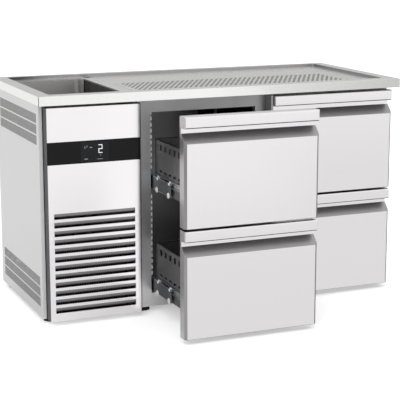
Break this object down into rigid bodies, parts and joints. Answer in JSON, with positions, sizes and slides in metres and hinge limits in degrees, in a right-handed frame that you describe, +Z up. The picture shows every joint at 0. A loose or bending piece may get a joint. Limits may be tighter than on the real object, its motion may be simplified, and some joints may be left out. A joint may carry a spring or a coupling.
{
  "type": "beer counter",
  "caption": "Refrigerated bar counter in brushed steel with a sink, a perforated drip area, a louvred machine bay with a display, and roller-slide drawers, the left ones pulled out.",
  "frame": {"origin": "centre of the footprint at floor level, with the left drawers pulled out as at rest", "axes": "+X to the right along the worktop as seen from the drawers, +Y from the drawers to the back, +Z up"},
  "size_m": [1.55, 1.095, 0.9],
  "materials": {
    "worktop_steel": "brushed along the length",
    "front_steel": "fine brushed",
    "outer_steel": "fine brushed",
    "inner_steel": "mill finish",
    "galvanised_steel": "spangled zinc",
    "slide_steel": "bright",
    "chrome": "polished",
    "foam": "rigid foam",
    "gasket_rubber": "soft",
    "black_plastic": "gloss",
    "display": "gloss",
    "black_paint": "satin",
    "fins": "bare fins",
    "fan_plastic": "matt",
    "copper": "bare tube",
    "foot_plastic": "matt"
  },
  "bodies": {
    "cabinet": {"worktop": "worktop_steel", "sink_bowl": "worktop_steel", "sink_waste": "chrome", "drip_well": "inner_steel", "left_side_panel": "outer_steel", "right_side_panel": "outer_steel", "back_panel": "galvanised_steel", "base_pan": "galvanised_steel", "face_frame": "inner_steel", "cold_liner": "inner_steel", "wall_insulation": "foam", "machine_cover": "outer_steel", "control_fascia": "black_plastic", "controller": "display", "compressor": "black_paint", "condenser": "fins", "condenser_fan_shroud": "galvanised_steel", "evaporator": "fins", "evaporator_cover": "inner_steel", "evaporator_fan_housing": "fan_plastic", "rail_uprights": "slide_steel", "cabinet_rails": "slide_steel", "refrigerant_lines": "copper"},
    "condenser_fan": {"condenser_fan": "fan_plastic"},
    "evaporator_fan": {"evaporator_fan": "fan_plastic"},
    "drip_grid": {"drip_grid": "worktop_steel"},
    "foot_front_left": {"foot_front_left": "foot_plastic"},
    "foot_front_middle": {"foot_front_middle": "foot_plastic"},
    "foot_front_right": {"foot_front_right": "foot_plastic"},
    "foot_back_left": {"foot_back_left": "foot_plastic"},
    "foot_back_middle": {"foot_back_middle": "foot_plastic"},
    "foot_back_right": {"foot_back_right": "foot_plastic"},
    "upper_left_drawer": {"upper_left_front_panel": "front_steel", "upper_left_grip_profile": "front_steel", "upper_left_front_insulation": "foam", "upper_left_gasket": "gasket_rubber", "upper_left_tub": "inner_steel", "upper_left_drawer_rails": "slide_steel"},
    "upper_left_carriage": {"upper_left_slide_carriages": "slide_steel"},
    "lower_left_drawer": {"lower_left_front_panel": "front_steel", "lower_left_grip_profile": "front_steel", "lower_left_front_insulation": "foam", "lower_left_gasket": "gasket_rubber", "lower_left_tub": "inner_steel", "lower_left_drawer_rails": "slide_steel"},
    "lower_left_carriage": {"lower_left_slide_carriages": "slide_steel"},
    "upper_right_drawer": {"upper_right_front_panel": "front_steel", "upper_right_grip_profile": "front_steel", "upper_right_front_insulation": "foam", "upper_right_gasket": "gasket_rubber", "upper_right_tub": "inner_steel", "upper_right_drawer_rails": "slide_steel"},
    "upper_right_carriage": {"upper_right_slide_carriages": "slide_steel"},
    "lower_right_drawer": {"lower_right_front_panel": "front_steel", "lower_right_grip_profile": "front_steel", "lower_right_front_insulation": "foam", "lower_right_gasket": "gasket_rubber", "lower_right_tub": "inner_steel", "lower_right_drawer_rails": "slide_steel"},
    "lower_right_carriage": {"lower_right_slide_carriages": "slide_steel"}
  },
  "joints": [
    {"name": "upper_left_drawer_slide", "type": "slide", "parent": "cabinet", "child": "upper_left_drawer", "axis": [0, -1, 0], "range_m": [-0.415, 0.035]},
    {"name": "upper_left_carriage_slide", "type": "slide", "parent": "cabinet", "child": "upper_left_carriage", "axis": [0, -1, 0], "range_m": [-0.2075, 0.0175]},
    {"name": "lower_left_drawer_slide", "type": "slide", "parent": "cabinet", "child": "lower_left_drawer", "axis": [0, -1, 0], "range_m": [-0.415, 0.035]},
    {"name": "lower_left_carriage_slide", "type": "slide", "parent": "cabinet", "child": "lower_left_carriage", "axis": [0, -1, 0], "range_m": [-0.2075, 0.0175]},
    {"name": "upper_right_drawer_slide", "type": "slide", "parent": "cabinet", "child": "upper_right_drawer", "axis": [0, -1, 0], "range_m": [0, 0.45]},
    {"name": "upper_right_carriage_slide", "type": "slide", "parent": "cabinet", "child": "upper_right_carriage", "axis": [0, -1, 0], "range_m": [0, 0.225]},
    {"name": "lower_right_drawer_slide", "type": "slide", "parent": "cabinet", "child": "lower_right_drawer", "axis": [0, -1, 0], "range_m": [0, 0.45]},
    {"name": "lower_right_carriage_slide", "type": "slide", "parent": "cabinet", "child": "lower_right_carriage", "axis": [0, -1, 0], "range_m": [0, 0.225]},
    {"name": "condenser_fan_spin", "type": "hinge", "parent": "cabinet", "child": "condenser_fan", "pos_m": [-0.543, 0.0155, 0.1662], "axis": [0, 1, 0], "continuous": true},
    {"name": "evaporator_fan_spin", "type": "hinge", "parent": "cabinet", "child": "evaporator_fan", "pos_m": [0.2005, 0.4423, 0.65], "axis": [0, 1, 0], "continuous": true},
    {"name": "drip_grid_lift", "type": "slide", "parent": "cabinet", "child": "drip_grid", "axis": [0, 0, 1], "range_m": [0, 0.15]},
    {"name": "foot_front_left_turn", "type": "hinge", "parent": "cabinet", "child": "foot_front_left", "pos_m": [-0.713, -0.0312, 0], "axis": [0, 0, 1], "continuous": true},
    {"name": "foot_front_middle_turn", "type": "hinge", "parent": "cabinet", "child": "foot_front_middle", "pos_m": [-0.33, -0.0312, 0], "axis": [0, 0, 1], "continuous": true},
    {"name": "foot_front_right_turn", "type": "hinge", "parent": "cabinet", "child": "foot_front_right", "pos_m": [0.713, -0.0312, 0], "axis": [0, 0, 1], "continuous": true},
    {"name": "foot_back_left_turn", "type": "hinge", "parent": "cabinet", "child": "foot_back_left", "pos_m": [-0.713, 0.4925, 0], "axis": [0, 0, 1], "continuous": true},
    {"name": "foot_back_middle_turn", "type": "hinge", "parent": "cabinet", "child": "foot_back_middle", "pos_m": [-0.33, 0.4925, 0], "axis": [0, 0, 1], "continuous": true},
    {"name": "foot_back_right_turn", "type": "hinge", "parent": "cabinet", "child": "foot_back_right", "pos_m": [0.713, 0.4925, 0], "axis": [0, 0, 1], "continuous": true}
  ],
  "couplings": [
    {"joint": "upper_left_carriage_slide", "follows": "upper_left_drawer_slide", "ratio": 0.5},
    {"joint": "lower_left_carriage_slide", "follows": "lower_left_drawer_slide", "ratio": 0.5},
    {"joint": "upper_right_carriage_slide", "follows": "upper_right_drawer_slide", "ratio": 0.5},
    {"joint": "lower_right_carriage_slide", "follows": "lower_right_drawer_slide", "ratio": 0.5}
  ]
}
